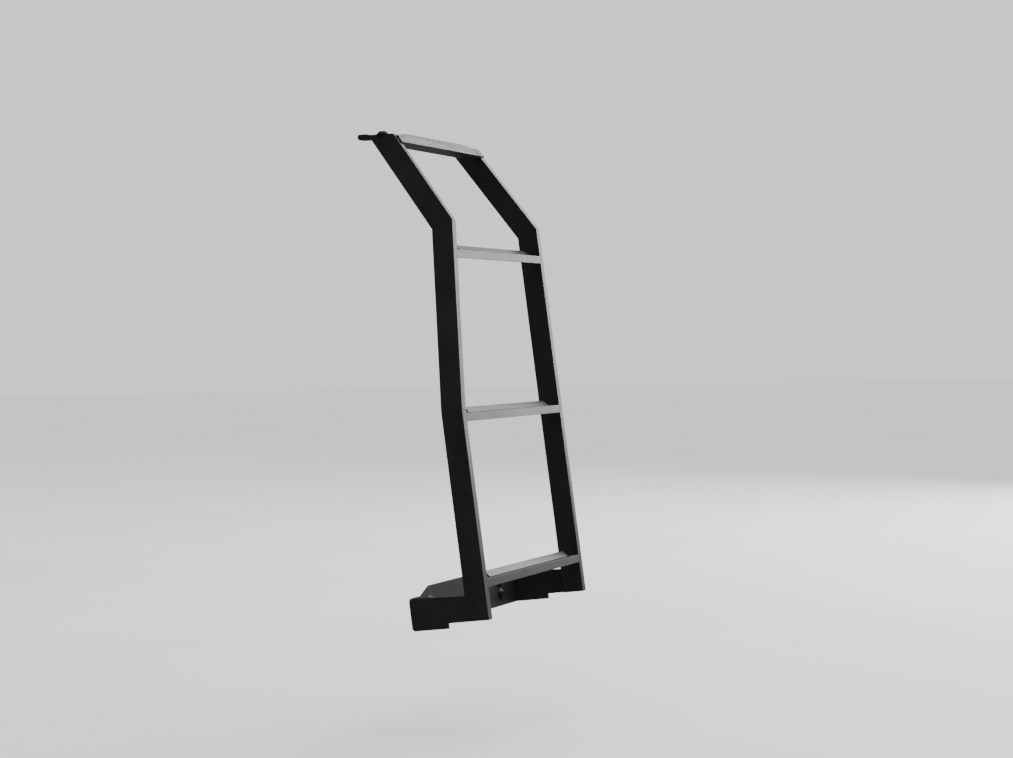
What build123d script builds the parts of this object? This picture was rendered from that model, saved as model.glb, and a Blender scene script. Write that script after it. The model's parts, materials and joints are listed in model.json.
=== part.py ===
from build123d import *
import os
from math import atan, cos, degrees, radians, sin, tan

# Rear-door ladder for a high vehicle, millimetres.
# X runs across the ladder, Y towards the door, Z up along the straight rails.
# The origin is on the door side of the lower bracket, midway between the rails.

# Overall
ladder_width = 444.0
standoff = 164.0
rung_pitch = 310.0
lean_installed = 7.1

# Rails, flat rectangular tube
rail_depth = 44.5
rail_thick = 15.0
rail_wall = 2.0

# Heights along the straight rails
lower_rung_z = 48.0
bend_z = 365.0
knee_z = 725.0

# The left rail turns inwards above the middle rung, the right rail stays straight
left_turn_in = 0.16
left_turn = degrees(atan(left_turn_in))

# Upper rails, tilted towards the roof
knee_angle = 32.1
upper_length = 220.0

# Rungs, folded sheet: a face, a tread that is level on the vehicle, and a toe strip
rung_sheet = 2.5
rung_face = 15.5
rung_tread = 12.0
toe_height = 13.5
toe_lean = 36.0
toe_short = 30.0

# Plate across the upper rails, on their rear faces
top_plate_below = 19.5
top_plate_above = 7.0
top_plate_sheet = 3.5
top_plate_return = 13.0
top_corner_run = 45.0
end_tab_width = 24.0
end_tab_gap = 2.0

# Lower bracket
bracket_sheet = 4.0
arm_height = 50.0
arm_drop = 4.0
arm_step = 10.0
arm_step_length = 74.0
corner_round = 8.0
plate_rise = 16.0
plate_flat = 143.0
plate_shoulder = 178.0
bolt_x = 150.0
bolt_z = 12.0
bolt_hole = 9.0

# Hooks over the top of the door, with rubber sleeves on their tips
hook_sheet = 4.0
hook_reach = 24.0
sleeve_wall = 1.8
sleeve_pad = 5.0
sleeve_round = 4.0

# Worked out from the sizes above
half = ladder_width / 2
left_out = -half
left_in = left_out + rail_thick
left_mid = left_out + rail_thick / 2
right_in = half - rail_thick
right_mid = half - rail_thick / 2
rear = -standoff
rail_bottom = -arm_height / 2
middle_rung_z = lower_rung_z + rung_pitch
upper_rung_z = middle_rung_z + rung_pitch
knee_half = tan(radians(knee_angle / 2))
knee_sin = sin(radians(knee_angle))
knee_cos = cos(radians(knee_angle))
end_slope = tan(radians(lean_installed))
turn_sin = sin(radians(left_turn))
turn_cos = cos(radians(left_turn))
top_y = rear + upper_length * knee_sin
top_z = knee_z + upper_length * knee_cos


def knee_at(off):
    """Corner of the knee on a line that runs a given depth in from the rear face."""
    return (rear + off, knee_z - off * knee_half)


def end_at(off, past=0.0):
    """Level cut at the top of an upper rail, at a given depth in from the rear face."""
    y, z = knee_at(off)
    run = (top_z + (y - top_y) * end_slope - z) / (knee_cos - knee_sin * end_slope) + past
    return (y + run * knee_sin, z + run * knee_cos)


def turned(point):
    """The same point measured along the turned-in left rail, from the bend upwards."""
    return (point[0], (point[1] - bend_z) / turn_cos)


inner_rear = rail_wall
inner_front = rail_depth - rail_wall
core = rail_thick - 2 * rail_wall
over = 20.0

# Side outlines, walls and cores
straight_outline = [
    (rear, rail_bottom),
    (rear + rail_depth, rail_bottom),
    knee_at(rail_depth),
    knee_at(0),
]
straight_core = [
    (rear + inner_rear, rail_bottom - over),
    (rear + inner_front, rail_bottom - over),
    knee_at(inner_front),
    knee_at(inner_rear),
]
upper_outline = [knee_at(0), knee_at(rail_depth), end_at(rail_depth, over), end_at(0, over)]
upper_core = [
    knee_at(inner_rear),
    knee_at(inner_front),
    end_at(inner_front, 2 * over),
    end_at(inner_rear, 2 * over),
]
middle_outline = [
    (rear, bend_z - over),
    (rear + rail_depth, bend_z - over),
    knee_at(rail_depth),
    knee_at(0),
]
middle_core = [
    (rear + inner_rear, bend_z - 2 * over),
    (rear + inner_front, bend_z - 2 * over),
    knee_at(inner_front),
    knee_at(inner_rear),
]

# Upright planes through the middle of each rail
left_plane = Plane(origin=(left_mid, 0, 0), x_dir=(0, 1, 0), z_dir=(1, 0, 0))
right_plane = Plane(origin=(right_mid, 0, 0), x_dir=(0, 1, 0), z_dir=(1, 0, 0))
turn_plane = Plane(origin=(left_mid, 0, bend_z), x_dir=(0, 1, 0), z_dir=(turn_cos, 0, -turn_sin))
bend_tilt = radians(left_turn / 2)
bend_cut = Plane(
    origin=(left_mid, 0, bend_z),
    x_dir=(cos(bend_tilt), 0, -sin(bend_tilt)),
    z_dir=(sin(bend_tilt), 0, cos(bend_tilt)),
)

end_cut = Plane(
    origin=(0, top_y, top_z),
    x_dir=(1, 0, 0),
    z_dir=(0, -sin(radians(lean_installed)), cos(radians(lean_installed))),
)

os.makedirs("parts", exist_ok=True)

# Left rail, straight length below the bend
with BuildPart() as left_lower_rail:
    with BuildSketch(left_plane):
        Polygon(
            (rear, rail_bottom),
            (rear + rail_depth, rail_bottom),
            (rear + rail_depth, bend_z + over),
            (rear, bend_z + over),
            align=None,
        )
    extrude(amount=rail_thick / 2, both=True)
    with BuildSketch(left_plane):
        Polygon(
            (rear + inner_rear, rail_bottom - over),
            (rear + inner_front, rail_bottom - over),
            (rear + inner_front, bend_z + 2 * over),
            (rear + inner_rear, bend_z + 2 * over),
            align=None,
        )
    extrude(amount=core / 2, both=True, mode=Mode.SUBTRACT)
    split(bisect_by=bend_cut, keep=Keep.BOTTOM)
left_lower_rail.part.label = "left_lower_rail"
export_step(left_lower_rail.part, "parts/left_lower_rail.step")

# Left rail, turned-in length between the bend and the knee
with BuildPart() as left_middle_rail:
    with BuildSketch(turn_plane):
        Polygon(*[turned(p) for p in middle_outline], align=None)
    extrude(amount=rail_thick / 2, both=True)
    with BuildSketch(turn_plane):
        Polygon(*[turned(p) for p in middle_core], align=None)
    extrude(amount=core / 2, both=True, mode=Mode.SUBTRACT)
    split(bisect_by=bend_cut, keep=Keep.TOP)
left_middle_rail.part.label = "left_middle_rail"
export_step(left_middle_rail.part, "parts/left_middle_rail.step")

# Left rail, tilted length above the knee
with BuildPart() as left_upper_rail:
    with BuildSketch(turn_plane):
        Polygon(*[turned(p) for p in upper_outline], align=None)
    extrude(amount=rail_thick / 2, both=True)
    with BuildSketch(turn_plane):
        Polygon(*[turned(p) for p in upper_core], align=None)
    extrude(amount=core / 2, both=True, mode=Mode.SUBTRACT)
    split(bisect_by=end_cut, keep=Keep.BOTTOM)
left_upper_rail.part.label = "left_upper_rail"
export_step(left_upper_rail.part, "parts/left_upper_rail.step")

# Right rail, straight all the way to the knee
with BuildPart() as right_lower_rail:
    with BuildSketch(right_plane):
        Polygon(*straight_outline, align=None)
    extrude(amount=rail_thick / 2, both=True)
    with BuildSketch(right_plane):
        Polygon(*straight_core, align=None)
    extrude(amount=core / 2, both=True, mode=Mode.SUBTRACT)
right_lower_rail.part.label = "right_lower_rail"
export_step(right_lower_rail.part, "parts/right_lower_rail.step")

# Right rail, tilted length above the knee
with BuildPart() as right_upper_rail:
    with BuildSketch(right_plane):
        Polygon(*upper_outline, align=None)
    extrude(amount=rail_thick / 2, both=True)
    with BuildSketch(right_plane):
        Polygon(*upper_core, align=None)
    extrude(amount=core / 2, both=True, mode=Mode.SUBTRACT)
    split(bisect_by=end_cut, keep=Keep.BOTTOM)
right_upper_rail.part.label = "right_upper_rail"
export_step(right_upper_rail.part, "parts/right_upper_rail.step")

# Caps that close the lower ends of the tubes
with BuildPart() as left_bottom_cap:
    with BuildSketch(Plane.XY.offset(rail_bottom)):
        with Locations((left_mid, rear + rail_depth / 2)):
            Rectangle(rail_thick, rail_depth)
    extrude(amount=-rail_wall)
left_bottom_cap.part.label = "left_bottom_cap"
export_step(left_bottom_cap.part, "parts/left_bottom_cap.step")

with BuildPart() as right_bottom_cap:
    with BuildSketch(Plane.XY.offset(rail_bottom)):
        with Locations((right_mid, rear + rail_depth / 2)):
            Rectangle(rail_thick, rail_depth)
    extrude(amount=-rail_wall)
right_bottom_cap.part.label = "right_bottom_cap"
export_step(right_bottom_cap.part, "parts/right_bottom_cap.step")


# Rung section, drawn at the height of its upper rear edge
def rung_section(z):
    toe_in = rear + rung_tread
    toe_out = toe_in + toe_height * tan(radians(toe_lean))
    rise = rung_tread * end_slope
    return [
        (rear, z - rung_face),
        (rear + rung_sheet, z - rung_face),
        (rear + rung_sheet, z + rung_sheet * end_slope - rung_sheet),
        (toe_in, z + rise - rung_sheet),
        (toe_out, z + rise + toe_height - rung_sheet),
        (toe_out - rung_sheet, z + rise + toe_height - rung_sheet),
        (toe_in - rung_sheet, z + rise - rung_sheet * end_slope),
        (rear, z),
    ]


def left_face_at(z):
    """Inner face of the left rail at a height."""
    if z <= bend_z:
        return left_in
    return left_mid + (z - bend_z) * left_turn_in + rail_thick / 2 / turn_cos


def rung_front(z):
    """Outline of a rung seen from the climber's side, with the toe strip short of both rails."""
    low = z - rung_face
    shoulder = z + rung_tread * end_slope
    high = shoulder + toe_height
    return [
        (left_face_at(low), low),
        (right_in, low),
        (right_in, shoulder),
        (right_in - toe_short, shoulder),
        (right_in - toe_short, high),
        (left_face_at(shoulder) + toe_short, high),
        (left_face_at(shoulder) + toe_short, shoulder),
        (left_face_at(shoulder), shoulder),
    ]


rung_heights = {
    "lower_rung": lower_rung_z,
    "middle_rung": middle_rung_z,
    "upper_rung": upper_rung_z,
}
for rung_name, rung_z in rung_heights.items():
    with BuildPart() as rung:
        with BuildSketch(Plane.YZ.offset(left_in)):
            Polygon(*rung_section(rung_z), align=None)
        extrude(amount=right_in - left_in)
        with BuildSketch(Plane.XZ.offset(-rear)):
            Polygon(*rung_front(rung_z), align=None)
        extrude(amount=-rail_depth, mode=Mode.INTERSECT)
    rung.part.label = rung_name
    export_step(rung.part, f"parts/{rung_name}.step")

# Plate across the upper rails, with a return between them along its lower edge
slope_plane = Plane(origin=(0, rear, knee_z), x_dir=(1, 0, 0), z_dir=(0, -knee_cos, knee_sin))
plate_low = upper_length - top_plate_below
plate_high = upper_length + top_plate_above


def slope_left(run, inset):
    """X of a line on the turned-in left rail, at a run above the knee and inset from its middle."""
    return left_mid + (knee_z + run * knee_cos - bend_z) * left_turn_in + inset / turn_cos


tab_left = half - end_tab_width
with BuildPart() as top_plate:
    with BuildSketch(slope_plane):
        Polygon(
            (slope_left(plate_low, 0), plate_low),
            (tab_left - end_tab_gap, plate_low),
            (tab_left - end_tab_gap, upper_length),
            (tab_left - end_tab_gap - top_corner_run, plate_high),
            (slope_left(upper_length, 0) + top_corner_run, plate_high),
            (slope_left(upper_length, 0), upper_length),
            align=None,
        )
    extrude(amount=top_plate_sheet)
    with BuildSketch(slope_plane):
        Polygon(
            (slope_left(plate_low, rail_thick / 2), plate_low),
            (right_in, plate_low),
            (right_in, plate_low + top_plate_sheet),
            (slope_left(plate_low + top_plate_sheet, rail_thick / 2), plate_low + top_plate_sheet),
            align=None,
        )
    extrude(amount=-top_plate_return)
top_plate.part.label = "top_plate"
export_step(top_plate.part, "parts/top_plate.step")

# Small plate beside it on the right rail
with BuildPart() as right_end_tab:
    with BuildSketch(slope_plane):
        Polygon(
            (tab_left, plate_low),
            (half, plate_low),
            (half, upper_length),
            (tab_left, upper_length),
            align=None,
        )
    extrude(amount=top_plate_sheet)
right_end_tab.part.label = "right_end_tab"
export_step(right_end_tab.part, "parts/right_end_tab.step")

# Arms of the lower bracket, dropping a little towards the rails, deeper towards the door
arm_start = rear + rail_depth
arm_end = -bracket_sheet
arm_high = arm_height / 2
arm_low = rail_bottom - rail_wall
arm_deep = arm_low - arm_step
arm_outline = [
    (arm_start, arm_low),
    (arm_end - arm_step_length, arm_low),
    (arm_end - arm_step_length, arm_deep),
    (arm_end, arm_deep),
    (arm_end, arm_high),
    (arm_start, arm_high - arm_drop),
]
arm_sides = {"left_arm": left_out, "right_arm": half - bracket_sheet}
for arm_name, arm_x in arm_sides.items():
    with BuildPart() as arm:
        with BuildSketch(Plane.YZ.offset(arm_x)) as arm_sketch:
            Polygon(*arm_outline, align=None)
            fillet(arm_sketch.vertices().group_by(Axis.Y)[-1], corner_round)
        extrude(amount=bracket_sheet)
    arm.part.label = arm_name
    export_step(arm.part, f"parts/{arm_name}.step")

# Plate that bolts to the door, its upper corners cut down to the height of the arms
with BuildPart() as back_plate:
    with BuildSketch(Plane.XZ.offset(bracket_sheet)) as plate_sketch:
        Polygon(
            (-half, arm_deep),
            (half, arm_deep),
            (half, arm_high),
            (plate_shoulder, arm_high),
            (plate_flat, arm_high + plate_rise),
            (-plate_flat, arm_high + plate_rise),
            (-plate_shoulder, arm_high),
            (-half, arm_high),
            align=None,
        )
        fillet(plate_sketch.vertices().filter_by_position(Axis.X, -half - 1, -half + 1), corner_round)
        fillet(plate_sketch.vertices().filter_by_position(Axis.X, half - 1, half + 1), corner_round)
        with Locations((-bolt_x, -bolt_z), (bolt_x, -bolt_z), (-bolt_x, bolt_z), (bolt_x, bolt_z)):
            Circle(bolt_hole / 2, mode=Mode.SUBTRACT)
    extrude(amount=-bracket_sheet)
back_plate.part.label = "back_plate"
export_step(back_plate.part, "parts/back_plate.step")

# Hooks: flat bars on the level ends of the upper rails, each with a sleeve on its tip
end_rear = end_at(0)
end_front = end_at(rail_depth)
tip_y = end_front[0] + hook_reach


def level(y, up):
    """Point above the level cut, at a distance towards the door."""
    return (y, end_rear[1] + (y - end_rear[0]) * end_slope + up)


bar_tip = tip_y - sleeve_wall
bar_slant = hook_sheet / (knee_cos / knee_sin - end_slope)
hook_outline = [
    level(end_rear[0], 0),
    level(bar_tip, 0),
    level(bar_tip, hook_sheet),
    level(end_rear[0] + bar_slant, hook_sheet),
]
sleeve_outline = [
    level(end_front[0] + end_tab_gap, -sleeve_pad),
    level(tip_y, -sleeve_pad),
    level(tip_y, hook_sheet + sleeve_wall),
    level(end_front[0] + end_tab_gap, hook_sheet + sleeve_wall),
]
hook_sides = {"left": left_mid + (end_front[1] - bend_z) * left_turn_in, "right": right_mid}
for side, hook_x in hook_sides.items():
    hook_plane = Plane(origin=(hook_x, 0, 0), x_dir=(0, 1, 0), z_dir=(1, 0, 0))
    with BuildPart() as hook:
        with BuildSketch(hook_plane):
            Polygon(*hook_outline, align=None)
        extrude(amount=rail_thick / 2, both=True)
    hook.part.label = f"{side}_hook"
    export_step(hook.part, f"parts/{side}_hook.step")

    with BuildPart() as sleeve:
        with BuildSketch(hook_plane):
            Polygon(*sleeve_outline, align=None)
        extrude(amount=rail_thick / 2 + sleeve_wall, both=True)
        fillet(sleeve.edges().filter_by(Axis.X).group_by(Axis.Y)[-1], sleeve_round)
        with BuildSketch(hook_plane):
            Polygon(*hook_outline, align=None)
        extrude(amount=rail_thick / 2, both=True, mode=Mode.SUBTRACT)
    sleeve.part.label = f"{side}_hook_sleeve"
    export_step(sleeve.part, f"parts/{side}_hook_sleeve.step")
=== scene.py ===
import json
import math

import bmesh
import bpy
from mathutils import Matrix, Vector

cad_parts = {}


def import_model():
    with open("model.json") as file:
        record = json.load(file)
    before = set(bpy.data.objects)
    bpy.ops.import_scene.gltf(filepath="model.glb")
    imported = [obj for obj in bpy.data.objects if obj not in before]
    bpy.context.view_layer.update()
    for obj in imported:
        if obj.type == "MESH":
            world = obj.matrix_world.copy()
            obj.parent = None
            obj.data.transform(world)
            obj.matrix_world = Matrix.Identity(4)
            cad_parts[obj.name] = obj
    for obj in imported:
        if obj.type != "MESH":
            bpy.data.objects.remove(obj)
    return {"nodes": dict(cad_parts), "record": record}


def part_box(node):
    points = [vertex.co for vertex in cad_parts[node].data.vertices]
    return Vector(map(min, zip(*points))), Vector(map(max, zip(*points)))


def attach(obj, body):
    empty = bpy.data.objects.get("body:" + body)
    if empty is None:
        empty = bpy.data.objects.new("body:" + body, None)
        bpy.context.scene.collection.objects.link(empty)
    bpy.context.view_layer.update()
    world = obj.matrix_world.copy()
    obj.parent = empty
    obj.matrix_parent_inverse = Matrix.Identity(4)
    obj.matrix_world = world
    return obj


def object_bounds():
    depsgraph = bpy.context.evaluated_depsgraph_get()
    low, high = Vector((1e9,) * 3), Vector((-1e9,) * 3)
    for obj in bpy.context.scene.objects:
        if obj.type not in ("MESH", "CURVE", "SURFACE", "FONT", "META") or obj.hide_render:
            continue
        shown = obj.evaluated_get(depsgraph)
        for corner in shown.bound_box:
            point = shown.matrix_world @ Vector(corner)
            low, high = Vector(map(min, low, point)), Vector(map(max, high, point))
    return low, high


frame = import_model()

CAD_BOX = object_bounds()
NODES = frame["nodes"]
BODY = "root"
MM = 0.001

# How the ladder leans on the vehicle, and where the photograph was taken from
LEAN = math.radians(7.1)
VIEW_YAW = math.radians(63.75)
VIEW_PITCH = math.radians(-1.04)
VIEW_ROLL = math.radians(-0.96)
VIEW_PLACE = Vector((-3.2873, -1.7709, 0.2838))
FOCAL_PIXELS = 1866.3
IMAGE_WIDTH = 1013
SENSOR = 36.0
VIEW_FAR = 200

# Rounding of sheet and tube edges
EDGE_ROUND = 0.9 * MM
EDGE_ANGLE = math.radians(35)
EDGE_STEPS = 3
JOIN_GAP = 0.01 * MM

# Sheet of the hooks and of the lower bracket
HOOK_SHEET = 4.0 * MM
BRACKET_SHEET = 4.0 * MM

# Dome-headed bolts and their washers, and how much larger those on the hooks are
BOLT_RADIUS = 4.0 * MM
BUTTON_RADIUS = 8.5 * MM
BUTTON_HEIGHT = 5.0 * MM
BUTTON_FOOT = 0.9
BUTTON_EDGE = 0.5 * MM
DOME_STEPS = 6
SOCKET_RADIUS = 3.4 * MM
SOCKET_DEPTH = 2.6 * MM
SOCKET_RIM = 1.25 * SOCKET_RADIUS
WASHER_RADIUS = 11.0 * MM
WASHER_THICK = 1.6 * MM
WASHER_SIDE = 0.7 * WASHER_THICK
WASHER_EDGE = 0.5 * MM
BOLT_SIDES = 30
HOOK_BOLT = 1.15

# Weld beads
BEAD_RADIUS = 2.0 * MM
BEAD_STEP = 0.9 * MM
BEAD_RIPPLE = 0.16
BEAD_SIDES = 10
BEAD_FEWEST = 8
BEAD_END = 0.25
BEAD_SWELL = 6

# Welds under a rung, from its lower rear edge; the turned-in rail stands further in at the upper one
RUNG_WELD_RISE = 12.5 * MM
RUNG_WELD_NEAR = 3.5 * MM
RUNG_WELD_FAR = 10.5 * MM
RUNG_WELD_SLOPE = 1.0 * MM
UPPER_RUNG_INSET = 2.0 * MM

# Welds of the arms, and how far short of the edges they stop
RAIL_WELD_BELOW = 2.0 * MM
RAIL_WELD_ABOVE = 10.0 * MM
PLATE_WELD_ENDS = 9.0 * MM

# Brightness of the backdrop as seen, and of the surroundings as light
BACKDROP = 1.06
SURROUND = 0.18

# Floor, and the share of its paleness that reaches the ladder as reflected light
FLOOR_RADIUS = 30
FLOOR_SIDES = 64
FLOOR_DROP = 0.22
FLOOR_BOUNCE = 0.2

LEVEL = Matrix.Rotation(LEAN, 3, "X")
UP = LEVEL @ Vector((0, 0, 1))

# Light from above, and a wide softbox on the climber's side, right of the ladder
SUN_AIM = -UP + Vector((-0.1, 0.15, 0))
SUN_STRENGTH = 3.4
SUN_SPREAD = 70
SKY_PLACE = (5.3, -2.4, 2.75)
SKY_AIM = (0, 0, 2.4)
SKY_SIZE = (4.2, 5.1)
SKY_WATTS = 600


# Materials

def shader(name):
    """A new material, with its shader and a helper that adds nodes to it."""
    material = bpy.data.materials.new(name)
    material.use_nodes = True
    tree = material.node_tree
    surface = tree.nodes["Principled BSDF"]

    def add(kind, **values):
        node = tree.nodes.new(kind)
        for key, value in values.items():
            if key in node.inputs:
                node.inputs[key].default_value = value
            else:
                setattr(node, key, value)
        return node

    return material, tree, surface, add


def ramp(add, low, high, start, end):
    """A colour ramp between two greys or colours."""
    node = add("ShaderNodeValToRGB")
    node.color_ramp.elements[0].position = start
    node.color_ramp.elements[1].position = end
    node.color_ramp.elements[0].color = (*low, 1)
    node.color_ramp.elements[1].color = (*high, 1)
    return node


def powder_coat():
    """Satin black powder coat: fine orange peel, faint mottling and a little settled dust."""
    material, tree, surface, add = shader("black_powder_coat")
    link = tree.links.new
    place = add("ShaderNodeTexCoord").outputs["Object"]

    mottle = add("ShaderNodeTexNoise", Scale=14.0, Detail=5.0, Roughness=0.6)
    link(place, mottle.inputs["Vector"])
    tone = ramp(add, (0.024, 0.024, 0.0245), (0.034, 0.0335, 0.033), 0.35, 0.7)
    link(mottle.outputs["Fac"], tone.inputs["Fac"])

    dust = add("ShaderNodeTexNoise", Scale=420.0, Detail=3.0, Roughness=0.7)
    link(place, dust.inputs["Vector"])
    specks = ramp(add, (0, 0, 0), (1, 1, 1), 0.69, 0.80)
    link(dust.outputs["Fac"], specks.inputs["Fac"])
    dusty = add("ShaderNodeMixRGB", Color2=(0.050, 0.048, 0.045, 1))
    link(specks.outputs["Color"], dusty.inputs["Fac"])
    link(tone.outputs["Color"], dusty.inputs["Color1"])
    link(dusty.outputs["Color"], surface.inputs["Base Color"])

    sheen = ramp(add, (0.34, 0.34, 0.34), (0.44, 0.44, 0.44), 0.3, 0.75)
    link(mottle.outputs["Fac"], sheen.inputs["Fac"])
    link(sheen.outputs["Color"], surface.inputs["Roughness"])

    peel = add("ShaderNodeTexNoise", Scale=650.0, Detail=2.0, Roughness=0.5)
    link(place, peel.inputs["Vector"])
    bump = add("ShaderNodeBump", Strength=0.10, Distance=0.0004)
    link(peel.outputs["Fac"], bump.inputs["Height"])
    link(bump.outputs["Normal"], surface.inputs["Normal"])
    surface.inputs["Specular IOR Level"].default_value = 0.22
    return material


def black_rubber():
    """Dull moulded rubber with a fine grain."""
    material, tree, surface, add = shader("sleeve_rubber")
    link = tree.links.new
    place = add("ShaderNodeTexCoord").outputs["Object"]
    grain = add("ShaderNodeTexNoise", Scale=900.0, Detail=4.0, Roughness=0.65)
    link(place, grain.inputs["Vector"])
    tone = ramp(add, (0.008, 0.008, 0.008), (0.017, 0.0165, 0.016), 0.3, 0.75)
    link(grain.outputs["Fac"], tone.inputs["Fac"])
    link(tone.outputs["Color"], surface.inputs["Base Color"])
    matt = ramp(add, (0.62, 0.62, 0.62), (0.8, 0.8, 0.8), 0.3, 0.7)
    link(grain.outputs["Fac"], matt.inputs["Fac"])
    link(matt.outputs["Color"], surface.inputs["Roughness"])
    bump = add("ShaderNodeBump", Strength=0.25, Distance=0.0004)
    link(grain.outputs["Fac"], bump.inputs["Height"])
    link(bump.outputs["Normal"], surface.inputs["Normal"])
    return material


def black_zinc():
    """Dull black fastener finish, blotched by handling."""
    material, tree, surface, add = shader("black_fastener")
    link = tree.links.new
    place = add("ShaderNodeTexCoord").outputs["Object"]
    blot = add("ShaderNodeTexNoise", Scale=300.0, Detail=4.0, Roughness=0.6)
    link(place, blot.inputs["Vector"])
    tone = ramp(add, (0.007, 0.007, 0.008), (0.016, 0.0155, 0.015), 0.35, 0.75)
    link(blot.outputs["Fac"], tone.inputs["Fac"])
    link(tone.outputs["Color"], surface.inputs["Base Color"])
    gloss = ramp(add, (0.45, 0.45, 0.45), (0.6, 0.6, 0.6), 0.3, 0.7)
    link(blot.outputs["Fac"], gloss.inputs["Fac"])
    link(gloss.outputs["Color"], surface.inputs["Roughness"])
    surface.inputs["Specular IOR Level"].default_value = 0.3
    return material


def pale_floor():
    """Plain pale studio floor, dimmer as a light, so that undersides stay dark."""
    material, tree, surface, add = shader("studio_floor")
    link = tree.links.new
    place = add("ShaderNodeTexCoord").outputs["Object"]
    cloud = add("ShaderNodeTexNoise", Scale=1.4, Detail=3.0, Roughness=0.5)
    link(place, cloud.inputs["Vector"])
    tone = ramp(add, (0.80, 0.80, 0.79), (0.84, 0.84, 0.83), 0.3, 0.7)
    link(cloud.outputs["Fac"], tone.inputs["Fac"])
    share = add("ShaderNodeMapRange")
    share.inputs["To Min"].default_value = FLOOR_BOUNCE
    link(add("ShaderNodeLightPath").outputs["Is Camera Ray"], share.inputs["Value"])
    dim = add("ShaderNodeMixRGB", Color1=(0, 0, 0, 1))
    link(share.outputs["Result"], dim.inputs["Fac"])
    link(tone.outputs["Color"], dim.inputs["Color2"])
    link(dim.outputs["Color"], surface.inputs["Base Color"])
    surface.inputs["Roughness"].default_value = 0.8
    return material


COAT = powder_coat()
RUBBER = black_rubber()
FASTENER = black_zinc()


# Dressing of the solids

def dress(name, node):
    """Gives a solid its finish and rounds its edges as folding and rolling leave them."""
    finish = RUBBER if name.endswith("sleeve") else COAT
    node.data.materials.clear()
    node.data.materials.append(finish)
    weld = node.modifiers.new("join_faces", "WELD")
    weld.merge_threshold = JOIN_GAP
    edge = node.modifiers.new("round_edges", "BEVEL")
    edge.width = EDGE_ROUND
    edge.segments = EDGE_STEPS
    edge.limit_method = "ANGLE"
    edge.angle_limit = EDGE_ANGLE
    edge.harden_normals = True


for node_name, node_object in NODES.items():
    dress(node_name, node_object)


# Pieces added to the solids

def piece(name, mesh_maker, material):
    """A mesh piece that rides with the ladder."""
    mesh = bpy.data.meshes.new(name)
    shape = bmesh.new()
    mesh_maker(shape)
    bmesh.ops.recalc_face_normals(shape, faces=shape.faces)
    shape.to_mesh(mesh)
    shape.free()
    mesh.materials.append(material)
    for face in mesh.polygons:
        face.use_smooth = True
    obj = bpy.data.objects.new(name, mesh)
    bpy.context.collection.objects.link(obj)
    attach(obj, BODY)
    return obj


def ring(shape, centre, across, along, radius, count):
    """A ring of points round a centre."""
    points = []
    for i in range(count):
        a = 2 * math.pi * i / count
        points.append(shape.verts.new(centre + radius * (math.cos(a) * across + math.sin(a) * along)))
    return points


def bridge(shape, first, second):
    """Faces between two rings of the same count."""
    count = len(first)
    for i in range(count):
        j = (i + 1) % count
        shape.faces.new((first[i], first[j], second[j], second[i]))


def frame_of(axis):
    """Two directions square to an axis."""
    helper = Vector((0, 0, 1)) if abs(axis.z) < 0.9 else Vector((1, 0, 0))
    across = axis.cross(helper).normalized()
    return across, axis.cross(across).normalized()


def button_bolt(name, seat, axis, size=1.0):
    """A dome-headed socket bolt with a washer, sitting on a face."""
    axis = axis.normalized()
    washer_radius = WASHER_RADIUS * size
    button_radius = BUTTON_RADIUS * size
    across, along = frame_of(axis)
    washer = [
        (BOLT_RADIUS, 0),
        (washer_radius, 0),
        (washer_radius, WASHER_SIDE),
        (washer_radius - WASHER_EDGE, WASHER_THICK),
        (button_radius * BUTTON_FOOT, WASHER_THICK),
    ]
    dome_base = WASHER_THICK + BUTTON_EDGE
    dome = [(button_radius * BUTTON_FOOT, WASHER_THICK), (button_radius, dome_base)]
    for i in range(1, DOME_STEPS + 1):
        a = math.radians(90 * i / DOME_STEPS)
        reach = SOCKET_RIM + (button_radius - SOCKET_RIM) * math.cos(a)
        dome.append((reach, dome_base + (BUTTON_HEIGHT - BUTTON_EDGE) * math.sin(a)))

    def make(shape):
        last = None
        for reach, rise in washer + dome:
            now = ring(shape, seat + axis * rise, across, along, reach, BOLT_SIDES)
            if last:
                bridge(shape, last, now)
            last = now
        top = WASHER_THICK + BUTTON_HEIGHT
        rim = []
        for i in range(BOLT_SIDES):
            a = 2 * math.pi * i / BOLT_SIDES
            hexagon = math.cos(math.pi / 6) / math.cos((a % (math.pi / 3)) - math.pi / 6)
            side = math.cos(a) * across + math.sin(a) * along
            rim.append(shape.verts.new(seat + axis * top + SOCKET_RADIUS * hexagon * side))
        bridge(shape, last, rim)
        bottom = [shape.verts.new(v.co - axis * SOCKET_DEPTH) for v in rim]
        bridge(shape, rim, bottom)
        shape.faces.new(bottom)

    return piece(name, make, FASTENER)


def bead(name, start, end):
    """A weld bead with fine ripples along a straight joint."""
    start, end = Vector(start), Vector(end)
    run = end - start
    axis = run.normalized()
    across, along = frame_of(axis)
    count = max(BEAD_FEWEST, int(run.length / BEAD_STEP))

    def make(shape):
        last = None
        for i in range(count + 1):
            t = i / count
            taper = min(1.0, BEAD_SWELL * min(t, 1 - t) + BEAD_END)
            wave = 1 - BEAD_RIPPLE * abs(math.sin(i * math.pi / 3))
            radius = BEAD_RADIUS * taper * wave
            now = ring(shape, start + run * t, across, along, radius, BEAD_SIDES)
            if last:
                bridge(shape, last, now)
            else:
                shape.faces.new(list(reversed(now)))
            last = now
        shape.faces.new(last)

    return piece(name, make, COAT)


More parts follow.
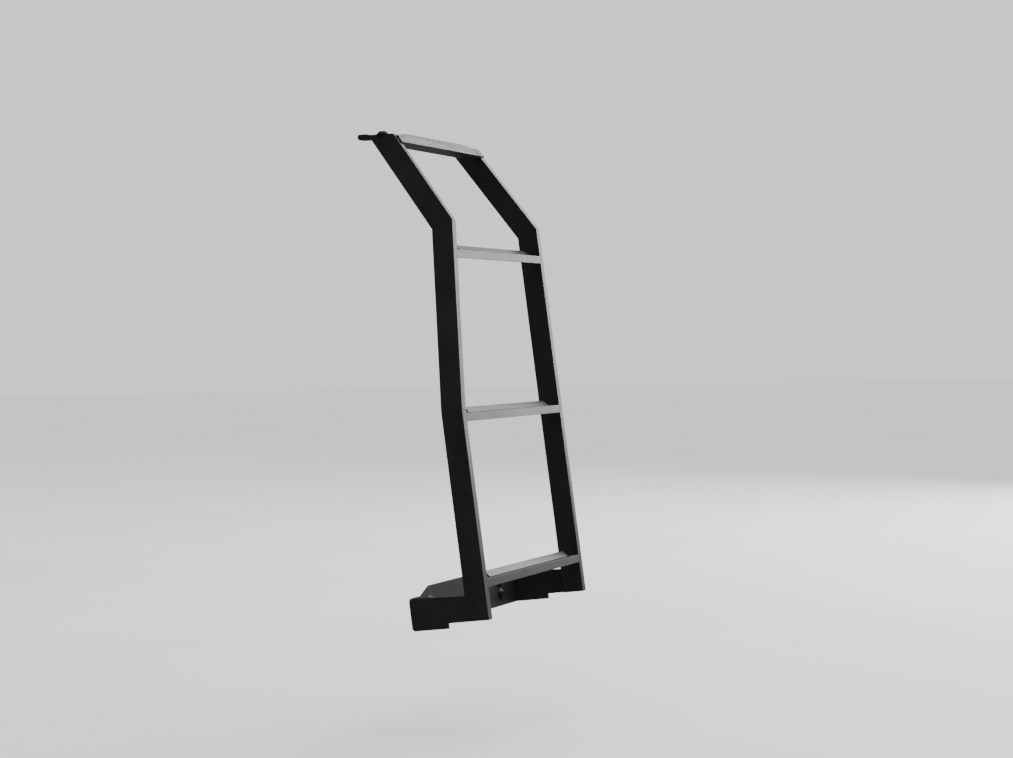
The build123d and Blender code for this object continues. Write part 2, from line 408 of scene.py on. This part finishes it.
# Bolts on the hooks
for side in ("left", "right"):
    low, high = (Vector(c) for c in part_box(f"{side}_hook"))
    sleeve_low, _ = (Vector(c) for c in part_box(f"{side}_hook_sleeve"))
    bolt_y = (low.y + sleeve_low.y) / 2
    rise = (bolt_y - low.y) * math.tan(LEAN)
    hook_top = low.z + HOOK_SHEET / math.cos(LEAN) + rise
    seat = Vector(((low.x + high.x) / 2, bolt_y, hook_top))
    button_bolt(f"{side}_hook_bolt", seat, UP, HOOK_BOLT)

# Bolts through the back plate
pattern = next(m for m in frame["record"]["mounts"] if m["name"] == "door_bolts")
plate_low, _ = (Vector(c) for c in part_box("back_plate"))
half_x = pattern["dims"]["spacing_x_mm"] * MM / 2
half_z = pattern["dims"]["spacing_y_mm"] * MM / 2
bolt_number = 0
for x in (-half_x, half_x):
    for z in (-half_z, half_z):
        bolt_number += 1
        seat = Vector((x, plate_low.y, z))
        button_bolt(f"plate_bolt_{bolt_number}", seat, Vector((0, -1, 0)))

# Welds under the rungs, and inside the lower bracket
for rung in ("lower_rung", "middle_rung", "upper_rung"):
    low, high = (Vector(c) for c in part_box(rung))
    near_z = low.z + RUNG_WELD_RISE
    far_z = near_z + RUNG_WELD_SLOPE
    near, far = low.y + RUNG_WELD_NEAR, low.y + RUNG_WELD_FAR
    bead(f"{rung}_weld_right", (high.x, near, near_z), (high.x, far, far_z))
    left_x = low.x + (UPPER_RUNG_INSET if rung == "upper_rung" else 0)
    bead(f"{rung}_weld_left", (left_x, near, near_z), (left_x, far, far_z))

rail_low, rail_high = (Vector(c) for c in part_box("left_lower_rail"))
arm_low, arm_high = (Vector(c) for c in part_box("left_arm"))
for side, sign in (("left", -1), ("right", 1)):
    arm_in = sign * (abs(arm_low.x) - BRACKET_SHEET)
    low_z, high_z = rail_low.z + RAIL_WELD_BELOW, arm_high.z - RAIL_WELD_ABOVE
    bead(f"{side}_arm_rail_weld", (arm_in, rail_high.y, low_z), (arm_in, rail_high.y, high_z))
    low_z, high_z = arm_low.z + PLATE_WELD_ENDS, arm_high.z - PLATE_WELD_ENDS
    bead(f"{side}_arm_plate_weld", (arm_in, arm_high.y, low_z), (arm_in, arm_high.y, high_z))


# Floor, light and camera

def floor():
    """A wide pale floor below the ladder, level as on the vehicle."""
    mesh = bpy.data.meshes.new("floor")
    shape = bmesh.new()
    bmesh.ops.create_circle(shape, cap_ends=True, segments=FLOOR_SIDES, radius=FLOOR_RADIUS)
    shape.to_mesh(mesh)
    shape.free()
    mesh.materials.append(pale_floor())
    obj = bpy.data.objects.new("floor", mesh)
    bpy.context.collection.objects.link(obj)
    obj.location = Vector((0, 0, CAD_BOX[0][2] - FLOOR_DROP))
    obj.rotation_euler = (LEAN, 0, 0)


def softbox(name, place, aim, size, watts):
    """A large rectangular light that faces a point."""
    data = bpy.data.lights.new(name, "AREA")
    data.shape = "RECTANGLE"
    data.size, data.size_y = size
    data.energy = watts
    obj = bpy.data.objects.new(name, data)
    bpy.context.collection.objects.link(obj)
    obj.location = place
    obj.rotation_mode = "QUATERNION"
    obj.rotation_quaternion = (Vector(aim) - Vector(place)).to_track_quat("-Z", "Y")


def sun(name, aim, strength, spread):
    """Even light from above for the whole floor."""
    data = bpy.data.lights.new(name, "SUN")
    data.energy = strength
    data.angle = math.radians(spread)
    obj = bpy.data.objects.new(name, data)
    bpy.context.collection.objects.link(obj)
    obj.rotation_mode = "QUATERNION"
    obj.rotation_quaternion = Vector(aim).to_track_quat("-Z", "Y")


def world():
    """Pale backdrop, with a dim surround that lets the dark coat stay dark."""
    scene_world = bpy.data.worlds.new("studio")
    bpy.context.scene.world = scene_world
    scene_world.use_nodes = True
    tree = scene_world.node_tree
    back = tree.nodes["Background"]
    back.inputs["Color"].default_value = (1.0, 1.0, 1.0, 1)
    path = tree.nodes.new("ShaderNodeLightPath")
    share = tree.nodes.new("ShaderNodeMapRange")
    share.inputs["To Min"].default_value = SURROUND
    share.inputs["To Max"].default_value = BACKDROP
    tree.links.new(path.outputs["Is Camera Ray"], share.inputs["Value"])
    tree.links.new(share.outputs["Result"], back.inputs["Strength"])


def camera():
    """The photograph's camera."""
    data = bpy.data.cameras.new("camera")
    data.sensor_width = SENSOR
    data.lens = SENSOR * FOCAL_PIXELS / IMAGE_WIDTH
    data.clip_end = VIEW_FAR
    obj = bpy.data.objects.new("camera", data)
    bpy.context.collection.objects.link(obj)
    forward = Vector((math.sin(VIEW_YAW) * math.cos(VIEW_PITCH),
                      math.cos(VIEW_YAW) * math.cos(VIEW_PITCH), math.sin(VIEW_PITCH)))
    right = Vector((math.cos(VIEW_YAW), -math.sin(VIEW_YAW), 0))
    up = right.cross(forward)
    turned_right = math.cos(VIEW_ROLL) * right + math.sin(VIEW_ROLL) * up
    turned_up = math.cos(VIEW_ROLL) * up - math.sin(VIEW_ROLL) * right
    axes = Matrix((LEVEL @ turned_right, LEVEL @ turned_up, LEVEL @ -forward)).transposed()
    obj.matrix_world = Matrix.Translation(VIEW_PLACE) @ axes.to_4x4()
    bpy.context.scene.camera = obj


floor()
world()
sun("overhead", SUN_AIM, SUN_STRENGTH, SUN_SPREAD)
softbox("right_sky", SKY_PLACE, SKY_AIM, SKY_SIZE, SKY_WATTS)
camera()
